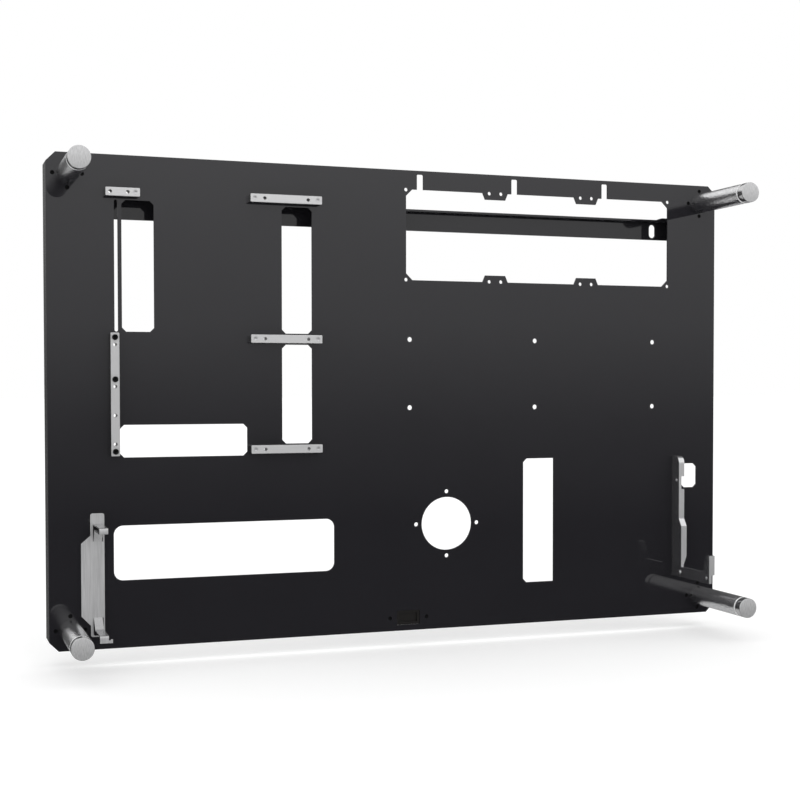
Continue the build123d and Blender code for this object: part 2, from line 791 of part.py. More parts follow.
def make_supply_bracket():
    """A leg and a foot for the power supply's screws, thicker along the leg and at the toe."""
    leg = [
        (0, supply_top),
        (supply_upper_depth, supply_top),
        (supply_upper_depth, supply_step_top),
        (supply_lower_depth, supply_step_bottom),
    ]
    foot = [
        (supply_lower_depth, supply_arm_top),
        (supply_toe_back, supply_arm_top),
        (supply_toe_back, supply_toe_top - supply_toe_slope),
        (supply_toe_tip, supply_toe_top),
        (supply_arm_reach, supply_toe_top),
        (supply_arm_reach, supply_arm_bottom),
        (0, supply_arm_bottom),
    ]
    bracket = supply_profile(leg + foot, supply_plate)
    thick = supply_profile(leg + [(supply_lower_depth, supply_leg_end - supply_taper),
                                  (0, supply_leg_end - supply_taper)], supply_leg)
    taper = make_face(Polyline(
        (supply_x + supply_plate, supply_leg_end - supply_taper),
        (supply_x + supply_leg, supply_leg_end),
        (supply_x + supply_leg + CUT_MARGIN, supply_leg_end),
        (supply_x + supply_leg + CUT_MARGIN, supply_leg_end - supply_taper),
        close=True,
    ))
    thick -= extrude(taper, supply_lower_depth)
    bracket += thick
    toe = [
        (supply_toe_back, supply_toe_end),
        (supply_toe_back, supply_toe_top - supply_toe_slope),
        (supply_toe_tip, supply_toe_top),
        (supply_arm_reach, supply_toe_top),
        (supply_arm_reach, supply_toe_end),
    ]
    bracket += supply_profile(toe, supply_leg)
    crown = [
        e for e in bracket.edges().filter_by(Axis.X)
        if abs(e.center().Y - supply_top) < SAME_PLACE
        and abs(e.center().Z - supply_upper_depth) < SAME_PLACE
    ]
    bracket = fillet(crown, supply_top_round)
    bracket -= block(supply_x + supply_plate, supply_x + supply_leg, supply_cut_bottom, supply_cut_top,
                     panel_sheet, supply_upper_depth)
    lower = [(supply_hole_depth, supply_hole_y), (supply_hole_depth + supply_hole_pitch, supply_hole_y)]
    upper = [(supply_hole_depth - supply_hole_shift, supply_hole_y + supply_hole_rise)]
    hole = Rot(0, 90, 0) * Cylinder(supply_hole_bore / 2, supply_leg + 2 * CUT_MARGIN)
    for z, y in lower + upper:
        bracket -= Pos(supply_x + supply_leg / 2, y, z) * hole
    screw_depth = supply_screw_length - panel_sheet + thread_slack
    return bracket - bores(supply_screw_points(), small_thread, 0, screw_depth)


def make_switch_module():
    """A moulded block that fills the panel's opening, with a shallow pocket and two ears."""
    half_x = switch_width / 2
    half_y = switch_height / 2
    body = block(-half_x, half_x, switch_y - half_y, switch_y + half_y, -switch_depth, -switch_recess)
    ear_back = -panel_sheet - switch_ear_thickness
    ear_length = switch_screw_pitch + 2 * switch_ear_end
    ears = extrude(SlotOverall(ear_length, switch_height), switch_ear_thickness)
    half_x -= switch_rim
    half_y -= switch_rim
    pocket = block(-half_x, half_x, switch_y - half_y, switch_y + half_y,
                   -switch_recess - switch_pocket, -switch_recess)
    module = body + Pos(0, switch_y, ear_back) * ears - pocket
    return module - bores(switch_screw_points(), tiny_thread, ear_back, -panel_sheet)


def make_pieces():
    """Every piece by the name of its node, in the panel's axes."""
    tiny = screw(tiny_thread, panel_sheet + bracket_sheet, tiny_head, tiny_head_height, tiny_key, True)
    switch = screw(tiny_thread, switch_screw_length, tiny_head, tiny_head_height, tiny_key, True)
    flush = screw(small_thread, board_screw_length, flush_head, flush_head_height, small_key, True)
    proud = screw(small_thread, board_screw_length, board_head, board_head_height, small_key)
    rear = screw(small_thread, rear_screw_length, small_head, small_head_height, small_key)
    card = screw(small_thread, panel_sheet + CARD_SCREW_DEPTH, small_head, small_head_height, small_key)
    supply = screw(small_thread, supply_screw_length, small_head, small_head_height, small_key)
    bolt_length = panel_sheet + bracket_sheet + post_thread_depth - thread_slack
    bolt = screw(post_thread, bolt_length, post_bolt_head, post_bolt_head_height, post_bolt_key)

    upper_bracket = make_corner_bracket(True)
    lower_bracket = make_corner_bracket(False)
    pad = make_wall_pad()
    rows = board_rows()
    long_length = board_column_2 - board_column_1 + 2 * bar_end
    pieces = {
        "back_panel": make_back_panel(),
        "wall_rail": make_wall_rail(),
        "upper_bracket_left": mirror_x(upper_bracket),
        "upper_bracket_right": upper_bracket,
        "lower_bracket_left": mirror_x(lower_bracket),
        "lower_bracket_right": lower_bracket,
        "wall_pad_left": mirror_x(pad),
        "wall_pad_right": pad,
        "short_board_bar": make_flat_bar(short_bar_x(), board_y, short_bar_length, short_bar_spares()),
        "upright_board_bar": make_upright_bar(),
        "card_bracket": make_card_bracket(),
        "supply_bracket": make_supply_bracket(),
        "switch_module": make_switch_module(),
        "post_base_screws": placed(tiny, post_screw_points(), 0),
        "post_bolts": placed(bolt, post_points(), BRACKET_BACK, True),
        "board_screws_flush": placed(flush, board_wide_points(), bar_depth),
        "board_screws_black": placed(proud, board_column_points(), bar_depth),
        "bar_rear_screws": placed(rear, bar_rear_points(), -panel_sheet, True),
        "card_bracket_screws": placed(card, card_screw_points(), -panel_sheet, True),
        "supply_bracket_screws": placed(supply, supply_screw_points(), -panel_sheet, True),
        "switch_screws": placed(switch, switch_screw_points(), 0),
    }
    for name, y in zip(("upper_board_bar", "middle_board_bar", "lower_board_bar"), rows):
        pieces[name] = make_flat_bar(long_bar_x(), y, long_length, long_bar_spares(y))
    corners = ("upper_left", "upper_right", "lower_left", "lower_right")
    for corner, (x, y) in zip(corners, post_points()):
        pieces["post_" + corner] = Pos(x, y, 0) * make_post()
        pieces["post_cap_" + corner] = Pos(x, y, 0) * make_cap()
    return pieces


def main():
    """Place every piece in the part's frame and write one file for each node."""
    os.makedirs("parts", exist_ok=True)
    for name, shape in make_pieces().items():
        solids = shape if isinstance(shape, list) else [shape]
        group = Compound(children=[s for part in solids for s in part.solids()])
        export_step(PART_FRAME.location * group, f"parts/{name}.step")


main()
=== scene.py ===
"""Looks of a wall-mounted open computer case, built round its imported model.

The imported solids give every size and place. The panel, the rail, the corner brackets, the pads and
the switch module already have their true form, and are dressed with a finish. The posts, their caps,
the bars, the card bracket, the power supply bracket and the screws are built again over their solids,
with the fine chamfers, grooves, thread turns and smooth turned faces that a close look shows.
"""

import logging
import math
from dataclasses import dataclass, field, fields, replace
from enum import Enum
from typing import Callable, Optional, Sequence

import bmesh
import bpy
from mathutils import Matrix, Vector


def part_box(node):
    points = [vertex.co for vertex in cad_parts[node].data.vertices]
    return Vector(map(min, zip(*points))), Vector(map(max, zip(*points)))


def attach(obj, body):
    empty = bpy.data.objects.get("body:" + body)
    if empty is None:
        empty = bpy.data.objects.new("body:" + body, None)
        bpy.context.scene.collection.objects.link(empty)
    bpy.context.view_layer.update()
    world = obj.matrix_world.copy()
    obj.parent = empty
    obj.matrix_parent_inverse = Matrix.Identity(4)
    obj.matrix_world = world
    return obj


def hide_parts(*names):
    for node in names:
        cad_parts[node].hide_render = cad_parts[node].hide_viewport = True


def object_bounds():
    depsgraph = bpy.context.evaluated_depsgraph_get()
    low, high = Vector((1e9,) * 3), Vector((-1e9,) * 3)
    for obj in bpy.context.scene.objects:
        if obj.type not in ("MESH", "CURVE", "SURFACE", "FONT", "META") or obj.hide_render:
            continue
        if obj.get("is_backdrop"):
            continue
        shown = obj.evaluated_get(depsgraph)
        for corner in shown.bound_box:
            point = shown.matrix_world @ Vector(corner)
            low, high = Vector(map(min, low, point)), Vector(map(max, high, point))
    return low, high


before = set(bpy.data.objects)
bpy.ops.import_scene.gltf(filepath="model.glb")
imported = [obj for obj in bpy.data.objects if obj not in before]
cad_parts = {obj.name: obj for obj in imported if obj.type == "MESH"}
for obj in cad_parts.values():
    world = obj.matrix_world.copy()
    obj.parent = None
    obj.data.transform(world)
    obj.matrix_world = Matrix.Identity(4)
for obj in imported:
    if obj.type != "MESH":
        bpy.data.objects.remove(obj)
LOG = logging.getLogger("wall_case")

# A millimetre in metres, and the direction that the case faces
MM = 0.001
FRONT = Vector((0.0, -1.0, 0.0))

CORNERS = ("upper_left", "upper_right", "lower_left", "lower_right")

# The name of the face values that tell which faces are worked
MARK = "worked_face"

# How much a face must look to the front to be flat to it, to be half turned and to lean
FLAT_TO_FRONT = 0.95
HALF_TURNED = 0.5
LEANING = 0.3

# The limits that most values of a noise lie in, and those that fine lines are stretched from
NOISE_LIMITS = (0.3, 0.7)
LINE_LIMITS = (0.25, 0.75)

# A ring with a smaller radius than this, in metres, is one point on the axis
ON_AXIS = 1e-7

# A sixth of a turn, after which a hexagon looks the same
SIXTH = math.pi / 3


class Grain(Enum):
    """The way the fine lines of a worked metal face run, along an axis of the part."""

    ALONG_X = 0
    ALONG_Y = 1
    ALONG_Z = 2


class Shader:
    """A material under construction, with short calls for the nodes it needs."""

    def __init__(self, name: str) -> None:
        """Start an empty material with one Principled shader.

        Args:
            name: The material's name.
        """
        self.material = bpy.data.materials.new(name)
        self.material.use_nodes = True
        self.tree = self.material.node_tree
        self.tree.nodes.clear()
        self.output = self.tree.nodes.new("ShaderNodeOutputMaterial")
        self.surface = self.tree.nodes.new("ShaderNodeBsdfPrincipled")
        self.tree.links.new(self.surface.outputs["BSDF"], self.output.inputs["Surface"])

    def set(self, **values: object) -> "Shader":
        """Set sockets of the Principled shader, whose names have underscores for spaces.

        Args:
            **values: Socket names and their values.

        Returns:
            The shader itself, so that calls can follow each other.
        """
        for name, value in values.items():
            self.surface.inputs[name.replace("_", " ")].default_value = value
        return self

    def node(self, kind: str, **settings: object) -> bpy.types.Node:
        """Add a node.

        Args:
            kind: The node's type.
            **settings: Properties of the node to set.

        Returns:
            The new node.
        """
        made = self.tree.nodes.new(kind)
        for name, value in settings.items():
            setattr(made, name, value)
        return made

    def link(self, source: bpy.types.NodeSocket, target: bpy.types.NodeSocket) -> None:
        """Join two sockets.

        Args:
            source: The output that gives the value.
            target: The input that takes it.
        """
        self.tree.links.new(source, target)

    def place(self, scale: Sequence[float]) -> bpy.types.NodeSocket:
        """Object coordinates, scaled.

        Args:
            scale: The scale along each axis.

        Returns:
            The vector socket.
        """
        coordinates = self.node("ShaderNodeTexCoord")
        scaled = self.node("ShaderNodeMapping", vector_type="POINT")
        scaled.inputs["Scale"].default_value = scale
        self.link(coordinates.outputs["Object"], scaled.inputs["Vector"])
        return scaled.outputs["Vector"]

    def noise(self, vector: bpy.types.NodeSocket, scale: float, detail: float = 2.0,
              roughness: float = 0.5) -> bpy.types.NodeSocket:
        """A noise texture.

        Args:
            vector: The coordinates it reads.
            scale: How fine it is.
            detail: Its octaves.
            roughness: How strong the finer octaves are.

        Returns:
            The value socket.
        """
        made = self.node("ShaderNodeTexNoise")
        made.inputs["Scale"].default_value = scale
        made.inputs["Detail"].default_value = detail
        made.inputs["Roughness"].default_value = roughness
        self.link(vector, made.inputs["Vector"])
        return made.outputs["Fac"]

    def spread(self, value: bpy.types.NodeSocket, low: float, high: float,
               limits: tuple[float, float] = (0.0, 1.0)) -> bpy.types.NodeSocket:
        """Stretch a value from its own limits to new ones.

        Args:
            value: The value read.
            low: The result at the lower limit.
            high: The result at the upper limit.
            limits: The value's own limits.

        Returns:
            The value socket.
        """
        made = self.node("ShaderNodeMapRange")
        made.inputs["From Min"].default_value = limits[0]
        made.inputs["From Max"].default_value = limits[1]
        made.inputs["To Min"].default_value = low
        made.inputs["To Max"].default_value = high
        self.link(value, made.inputs["Value"])
        return made.outputs["Result"]

    def tint(self, value: bpy.types.NodeSocket, dark: Sequence[float], light: Sequence[float]) -> None:
        """Give the surface a colour between two by a value.

        Args:
            value: 0 for the dark colour and 1 for the light one.
            dark: The colour at 0.
            light: The colour at 1.
        """
        ramp = self.node("ShaderNodeValToRGB")
        ramp.color_ramp.elements[0].color = (*dark, 1.0)
        ramp.color_ramp.elements[1].color = (*light, 1.0)
        self.link(value, ramp.inputs["Fac"])
        self.link(ramp.outputs["Color"], self.surface.inputs["Base Color"])

    def sum(self, first: bpy.types.NodeSocket, second: bpy.types.NodeSocket) -> bpy.types.NodeSocket:
        """Add two values.

        Args:
            first: The one value.
            second: The other value.

        Returns:
            The value socket.
        """
        made = self.node("ShaderNodeMath", operation="ADD")
        self.link(first, made.inputs[0])
        self.link(second, made.inputs[1])
        return made.outputs["Value"]

    def rough(self, value: bpy.types.NodeSocket) -> None:
        """Let a value drive the roughness.

        Args:
            value: The roughness.
        """
        self.link(value, self.surface.inputs["Roughness"])

    def bump(self, height: bpy.types.NodeSocket, strength: float, distance: float) -> None:
        """Add a bump to the surface.

        Args:
            height: The height value.
            strength: The bump's strength.
            distance: The height of a value of 1, in metres.
        """
        made = self.node("ShaderNodeBump")
        made.inputs["Strength"].default_value = strength
        made.inputs["Distance"].default_value = distance
        self.link(height, made.inputs["Height"])
        self.link(made.outputs["Normal"], self.surface.inputs["Normal"])


def shaded(colour: Sequence[float], amount: float) -> list[float]:
    """A colour made lighter or darker.

    Args:
        colour: The colour.
        amount: The share by which it gets lighter, or darker if negative.

    Returns:
        The new colour.
    """
    return [min(1.0, part * (1.0 + amount)) for part in colour]


@dataclass(frozen=True)
class PowderCoat:
    """A baked black coat: even, with the faint orange peel that powder leaves."""

    name: str
    colour: tuple[float, float, float] = (0.0142, 0.0138, 0.0160)
    roughness: float = 0.035
    peel: float = 420.0
    peel_depth: float = 0.00001
    peel_strength: float = 0.04
    cloud: float = 0.08
    cloud_scale: float = 14.0
    cloud_detail: float = 3.0
    gloss_drift: float = 0.2
    shine: float = 0.62

    def material(self) -> bpy.types.Material:
        """Make the coat's material.

        Returns:
            The material.
        """
        shader = Shader(self.name).set(Metallic=0.0, IOR=1.5, Specular_IOR_Level=self.shine)
        where = shader.place((1.0, 1.0, 1.0))
        patches = shader.noise(where, self.cloud_scale, self.cloud_detail)
        shader.tint(patches, shaded(self.colour, -self.cloud), shaded(self.colour, self.cloud))
        smoothest = self.roughness * (1.0 - self.gloss_drift)
        roughest = self.roughness * (1.0 + self.gloss_drift)
        shader.rough(shader.spread(patches, smoothest, roughest, NOISE_LIMITS))
        shader.bump(shader.noise(where, self.peel), self.peel_strength, self.peel_depth)
        return shader.material


@dataclass(frozen=True)
class WorkedMetal:
    """Aluminium or steel with fine lines from milling, brushing or turning.

    The faces that a piece marks as worked can have their own values, given as metallic and roughness.
    """

    name: str
    colour: tuple[float, float, float]
    roughness: float
    grain: Grain
    fine: float = 2600.0
    stretch: float = 60.0
    line_detail: float = 3.0
    line_roughness: float = 0.6
    line_strength: float = 0.35
    depth: float = 0.000012
    contrast: float = 0.05
    scuff: float = 0.03
    scuff_scale: float = 35.0
    scuff_detail: float = 4.0
    metallic: float = 1.0
    worked: Optional[tuple[float, float]] = None

    def material(self) -> bpy.types.Material:
        """Make the metal's material.

        Returns:
            The material.
        """
        shader = Shader(self.name).set(Metallic=self.metallic, Specular_IOR_Level=0.5)
        scale = [self.fine] * 3
        scale[self.grain.value] = self.fine / self.stretch
        lines = shader.noise(shader.place(scale), 1.0, self.line_detail, self.line_roughness)
        shader.tint(shader.spread(lines, 0.0, 1.0, LINE_LIMITS), shaded(self.colour, -self.contrast),
                    shaded(self.colour, self.contrast))
        handled = shader.noise(shader.place((1.0, 1.0, 1.0)), self.scuff_scale, self.scuff_detail,
                               self.line_roughness)
        rough = shader.spread(handled, self.roughness - self.scuff, self.roughness + self.scuff,
                              NOISE_LIMITS)
        if self.worked is not None:
            metallic, roughness = self.worked
            mark = shader.node("ShaderNodeAttribute", attribute_name=MARK)
            shader.link(shader.spread(mark.outputs["Fac"], self.metallic, metallic),
                        shader.surface.inputs["Metallic"])
            rough = shader.sum(rough, shader.spread(mark.outputs["Fac"], 0.0, roughness - self.roughness))
        shader.rough(rough)
        shader.bump(lines, self.line_strength, self.depth)
        return shader.material


@dataclass(frozen=True)
class PlainCoat:
    """A dull even skin, such as moulded plastic or rubber, with a fine sparkle of grain."""

    name: str
    colour: tuple[float, float, float]
    roughness: float
    grain: float = 1800.0
    grain_strength: float = 0.2
    fleck: float = 0.15
    scuff: float = 0.05
    depth: float = 0.00002
    shine: float = 0.4

    def material(self) -> bpy.types.Material:
        """Make the skin's material.

        Returns:
            The material.
        """
        shader = Shader(self.name).set(Metallic=0.0, Specular_IOR_Level=self.shine)
        speckle = shader.noise(shader.place((1.0, 1.0, 1.0)), self.grain)
        shader.tint(speckle, shaded(self.colour, -self.fleck), shaded(self.colour, self.fleck))
        shader.rough(shader.spread(speckle, self.roughness - self.scuff, self.roughness + self.scuff,
                                   NOISE_LIMITS))
        shader.bump(speckle, self.grain_strength, self.depth)
        return shader.material


@dataclass(frozen=True)
class Finishes:
    """Every finish of the case, made once and shared by its pieces."""

    panel: PowderCoat = PowderCoat("panel_powder_coat")
    rail: PowderCoat = PowderCoat("rail_powder_coat", (0.0126, 0.0123, 0.0142), 0.04)
    bar: WorkedMetal = WorkedMetal("bar_milled_aluminium", (0.68, 0.68, 0.686), 0.16, Grain.ALONG_X,
                                   worked=(0.6, 0.36))
    column: WorkedMetal = WorkedMetal("column_milled_aluminium", (0.62, 0.62, 0.625), 0.16, Grain.ALONG_Z,
                                      worked=(0.6, 0.36))
    card: WorkedMetal = WorkedMetal("card_brushed_aluminium", (0.50, 0.50, 0.506), 0.22, Grain.ALONG_Z,
                                    fine=900.0, stretch=24.0, depth=0.00002, contrast=0.16, metallic=0.8,
                                    worked=(0.45, 0.42))
    supply: WorkedMetal = WorkedMetal("supply_satin_aluminium", (0.74, 0.74, 0.75), 0.10, Grain.ALONG_Z,
                                      contrast=0.08, metallic=0.96, worked=(0.78, 0.36))
    post: WorkedMetal = WorkedMetal("post_turned_aluminium", (0.78, 0.78, 0.79), 0.15, Grain.ALONG_Y,
                                    fine=450.0, stretch=1.8, depth=0.0018, contrast=0.2, scuff=0.05,
                                    metallic=0.98, worked=(0.3, 0.3))
    cap: WorkedMetal = WorkedMetal("cap_brushed_aluminium", (0.68, 0.68, 0.686), 0.18, Grain.ALONG_Z,
                                   fine=1200.0, stretch=6.0, contrast=0.2, metallic=0.98,
                                   worked=(0.74, 0.5))
    screw_steel: WorkedMetal = WorkedMetal("screw_bright_steel", (0.62, 0.62, 0.63), 0.36, Grain.ALONG_Y,
                                           metallic=0.7)
    screw_black: PlainCoat = PlainCoat("screw_black_oxide", (0.0035, 0.0035, 0.0037), 0.45, shine=0.08)
    switch: PlainCoat = PlainCoat("switch_moulded_plastic", (0.0125, 0.0115, 0.0108), 0.42, shine=0.2)
    rubber: PlainCoat = PlainCoat("pad_rubber", (0.022, 0.022, 0.022), 0.72)

    def made(self) -> dict[str, bpy.types.Material]:
        """Make every material.

        Returns:
            Each finish's field name and its material.
        """
        return {item.name: getattr(self, item.name).material() for item in fields(self)}


def linked(name: str, mesh: bmesh.types.BMesh) -> bpy.types.Object:
    """An object in the scene from a mesh, which is freed.

    Args:
        name: The object's name.
        mesh: The mesh.

    Returns:
        The object.
    """
    data = bpy.data.meshes.new(name)
    mesh.to_mesh(data)
    mesh.free()
    made = bpy.data.objects.new(name, data)
    bpy.context.scene.collection.objects.link(made)
    return made


@dataclass
class Workshop:
    """Builds plain meshes and attaches each finished piece to the root body.

    Lengths are in millimetres and angles in degrees.
    """

    materials: dict[str, bpy.types.Material]
    weld_distance: float = 0.002
    flat_turn: float = 0.6
    bevel_turn: float = 40.0
    bevel_segments: int = 2
    normal_weight: int = 100
    sorting_digits: int = 5

    def dress(self, node: str, finish: str) -> None:
        """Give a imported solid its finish.

        Args:
            node: The solid's name.
            finish: The finish's name.
        """
        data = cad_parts[node].data
        data.materials.clear()
        data.materials.append(self.materials[finish])
        LOG.info("dressed %s with %s", node, finish)

    def welded(self, node: str) -> bmesh.types.BMesh:
        """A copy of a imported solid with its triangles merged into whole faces.

        Args:
            node: The solid's name.

        Returns:
            The mesh, for the caller to change and free.
        """
        mesh = bmesh.new()
        mesh.from_mesh(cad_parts[node].data)
        bmesh.ops.remove_doubles(mesh, verts=mesh.verts, dist=self.weld_distance * MM)
        bmesh.ops.dissolve_limit(mesh, angle_limit=math.radians(self.flat_turn), verts=mesh.verts,
                                 edges=mesh.edges, use_dissolve_boundaries=False, delimit={"NORMAL"})
        return mesh

    def solids(self, node: str) -> list[tuple[Vector, Vector]]:
        """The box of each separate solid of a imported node.

        Args:
            node: The node's name.

        Returns:
            The lowest and highest corner of each solid, from left to right.
        """
        mesh = self.welded(node)
        left = set(mesh.verts)
        boxes = []
        while left:
            waiting = [left.pop()]
            reached = []
            while waiting:
                vert = waiting.pop()
                reached.append(vert.co.copy())
                for edge in vert.link_edges:
                    other = edge.other_vert(vert)
                    if other in left:
                        left.discard(other)
                        waiting.append(other)
            columns = list(zip(*reached))
            boxes.append((Vector([min(c) for c in columns]), Vector([max(c) for c in columns])))
        mesh.free()
        digits = self.sorting_digits
        return sorted(boxes, key=lambda box: (round(box[0].x, digits), round(box[0].z, digits)))

    def piece(self, name: str, mesh: bmesh.types.BMesh, finish: str, node: str,
              worked: Callable[[bpy.types.MeshPolygon], bool], bevel: float = 0.0,
              sharp: float = 38.0) -> None:
        """Turn a mesh into a finished piece of the case.

        Args:
            name: The piece's name.
            mesh: Its mesh, which is freed.
            finish: The finish's name.
            node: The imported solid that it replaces.
            worked: Tells of each face whether it is marked as worked.
            bevel: The width of a fine bevel on its sharp edges, or 0 for none.
            sharp: Edges that turn by more than this many degrees stay sharp.
        """
        made = linked(name, mesh)
        data = made.data
        data.materials.append(self.materials[finish])
        marks = data.attributes.new(MARK, "FLOAT", "FACE").data
        for polygon in data.polygons:
            marks[polygon.index].value = 1.0 if worked(polygon) else 0.0
        data.shade_smooth()
        data.set_sharp_from_angle(angle=math.radians(sharp))
        if bevel > 0.0:
            self._bevel(made, bevel)
        self.hand_over(made, node)

    def _bevel(self, made: bpy.types.Object, width: float) -> None:
        """Bevel an object's sharp edges, with normals that follow its large faces.

        Args:
            made: The object.
            width: The bevel's width.
        """
        edge = made.modifiers.new("fine_edge", "BEVEL")
        edge.width = width * MM
        edge.segments = self.bevel_segments
        edge.limit_method = "ANGLE"
        edge.angle_limit = math.radians(self.bevel_turn)
        edge.use_clamp_overlap = True
        even = made.modifiers.new("even_normals", "WEIGHTED_NORMAL")
        even.keep_sharp = True
        even.weight = self.normal_weight
        self.settle(made)

    def hand_over(self, made: bpy.types.Object, node: str) -> None:
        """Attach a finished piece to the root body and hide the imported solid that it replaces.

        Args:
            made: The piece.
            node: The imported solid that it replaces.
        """
        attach(made, "root")
        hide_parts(node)
        LOG.info("built %s: %d faces", made.name, len(made.data.polygons))

    def settle(self, made: bpy.types.Object) -> None:
        """Turn what an object's modifiers make into its own plain mesh, and remove them.

        Args:
            made: The object.
        """
        graph = bpy.context.evaluated_depsgraph_get()
        graph.update()
        result = bpy.data.meshes.new_from_object(made.evaluated_get(graph))
        made.modifiers.clear()
        was = made.data
        made.data = result
        bpy.data.meshes.remove(was)


@dataclass(frozen=True)
class Ring:
    """One ring of a turned form: round, or a hexagon whose flats lie at the radius."""

    radius: float
    depth: float
    hexagon: bool = False

    def reach(self, angle: float) -> float:
        """How far the ring is from the axis.

        Args:
            angle: The angle round the axis, in radians.

        Returns:
            The distance.
        """
        if not self.hexagon:
            return self.radius
        return self.radius / math.cos(angle % SIXTH - SIXTH / 2)


def turned(profile: Sequence[tuple], centre: Vector, steps: int) -> bmesh.types.BMesh:
    """A closed turned form about an axis that runs to the front.

    Args:
        profile: Its outline as the radius and the depth in front of the centre of each ring, in metres,
            and whether it is a hexagon. It starts and ends on the axis.
        centre: The point on the axis at depth 0.
        steps: How many sides the round faces have.

    Returns:
        The mesh.
    """
    mesh = bmesh.new()
    angles = [2.0 * math.pi * i / steps for i in range(steps)]
    rings = []
    for ring in (Ring(*entry) for entry in profile):
        middle = centre + FRONT * ring.depth
        if ring.radius < ON_AXIS:
            rings.append([mesh.verts.new(middle)])
            continue
        outward = (Vector((math.cos(a), 0.0, math.sin(a))) * ring.reach(a) for a in angles)
        rings.append([mesh.verts.new(middle + step) for step in outward])
    for inner, outer in zip(rings, rings[1:]):
        for i in range(steps):
            j = (i + 1) % steps
            if len(inner) == 1 and len(outer) == 1:
                continue
            if len(inner) == 1:
                mesh.faces.new((inner[0], outer[i], outer[j]))
            elif len(outer) == 1:
                mesh.faces.new((inner[i], outer[0], inner[j]))
            else:
                mesh.faces.new((inner[i], outer[i], outer[j], inner[j]))
    bmesh.ops.recalc_face_normals(mesh, faces=mesh.faces)
    return mesh


@dataclass
class Posts:
    """The four turned front posts and their caps, in millimetres."""

    back_chamfer: float = 0.3
    edge: float = 1.1
    edge_round: float = 0.15
    edge_bulge: float = 0.3
    groove: float = 1.8
    groove_rim: float = 0.5
    face_rim: float = 0.45
    rim_steps: int = 4
    neck_share: float = 0.75
    steps: int = 128

    def build(self, shop: Workshop) -> None:
        """Build the posts and caps over their solids.

        Args:
            shop: The workshop.
        """
        for corner in CORNERS:
            self._post(shop, corner)
            self._cap(shop, corner)

    def _span(self, node: str) -> tuple[Vector, float, float, float]:
        """The axis, radius and two ends of a turned solid.

        Args:
            node: The solid's name.

        Returns:
            The point of the axis at the back end, the radius, and the Y of the back and the front end.
        """
        low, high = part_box(node)
        centre = Vector(((low.x + high.x) / 2, high.y, (low.z + high.z) / 2))
        return centre, (high.x - low.x) / 2, high.y, low.y

    def _post(self, shop: Workshop, corner: str) -> None:
        """Build one post, a polished bar with a rounded front rim.

        Args:
            shop: The workshop.
            corner: Which corner it stands at.
        """
        node = "post_" + corner
        centre, radius, back, front = self._span(node)
        length = back - front
        back_chamfer = self.back_chamfer * MM
        edge = self.edge * MM
        soft = self.edge_round * MM
        bulge = self.edge_bulge * soft
        profile = [
            (0.0, 0.0),
            (radius - back_chamfer, 0.0),
            (radius, back_chamfer),
            (radius, length - edge - soft),
            (radius - bulge, length - edge),
            (radius - edge + soft, length - bulge),
            (radius - edge - soft, length),
            (0.0, length),
        ]
        shop.piece(node + "_bar", turned(profile, centre, self.steps), "post", node,
                   worked=lambda face: LEANING < face.normal.dot(FRONT) < FLAT_TO_FRONT)

    def _cap(self, shop: Workshop, corner: str) -> None:
        """Build one cap, a disc with a rounded rim on a narrower neck.

        Args:
            shop: The workshop.
            corner: Which corner it stands at.
        """
        node = "post_cap_" + corner
        centre, radius, _, front = self._span(node)
        post_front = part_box("post_" + corner)[0].y
        start = centre.y - post_front
        length = centre.y - front
        neck = radius * self.neck_share
        shoulder = start + self.groove * MM
        rim = self.groove_rim * MM
        face = self.face_rim * MM
        quarter = [math.radians(90.0 * i / self.rim_steps) for i in range(self.rim_steps + 1)]
        profile = [(0.0, start), (neck, start), (neck, shoulder), (radius - rim, shoulder)]
        for angle in quarter[1:]:
            profile.append((radius - rim * (1 - math.sin(angle)), shoulder + rim * (1 - math.cos(angle))))
        for angle in quarter:
            profile.append((radius - face * (1 - math.cos(angle)), length - face * (1 - math.sin(angle))))
        profile.append((0.0, length))
        shop.piece(node + "_disc", turned(profile, centre, self.steps), "cap", node,
                   worked=lambda face: face.normal.dot(FRONT) > FLAT_TO_FRONT)


@dataclass
class BoardBars:
    """The five bars that carry the computer's board, in millimetres."""

    level: tuple[str, ...] = ("short_board_bar", "upper_board_bar", "middle_board_bar", "lower_board_bar")
    upright: str = "upright_board_bar"
    bevel: float = 0.25
    skin: float = 1.0

    def build(self, shop: Workshop) -> None:
        """Build each bar again with fine bevelled edges.

        Args:
            shop: The workshop.
        """
        finishes = dict.fromkeys(self.level, "bar") | {self.upright: "column"}
        for node, finish in finishes.items():
            low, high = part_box(node)
            shop.piece(node + "_milled", shop.welded(node), finish, node,
                       worked=lambda face: self._milled(face, low, high), bevel=self.bevel)

    def _milled(self, face: bpy.types.MeshPolygon, low: Vector, high: Vector) -> bool:
        """Whether a face of a bar is part of its milled front or of a hole's wall.

        Args:
            face: The face.
            low: The lowest corner of the bar's box.
            high: The highest corner of the bar's box.

        Returns:
            True for the front, its fine chamfers and the walls of the holes.
        """
        inside = self.skin * MM
        middle = face.center
        across = low.x + inside < middle.x < high.x - inside
        along = low.z + inside < middle.z < high.z - inside
        return (across and along) or face.normal.dot(FRONT) > HALF_TURNED


@dataclass
class Brackets:
    """The folded card bracket and the cut power supply bracket, in millimetres and degrees."""

    bevel: float = 0.3
    supply_sharp: float = 15.0
    supply_front: float = 0.96

    def build(self, shop: Workshop) -> None:
        """Build both brackets again with fine bevelled edges.

        Args:
            shop: The workshop.
        """
        shop.piece("card_bracket_brushed", shop.welded("card_bracket"), "card",
                   "card_bracket", worked=lambda face: face.normal.dot(FRONT) > HALF_TURNED,
                   bevel=self.bevel)
        shop.piece("supply_bracket_cut", shop.welded("supply_bracket"), "supply",
                   "supply_bracket", worked=lambda face: face.normal.dot(FRONT) > self.supply_front,
                   bevel=self.bevel, sharp=self.supply_sharp)


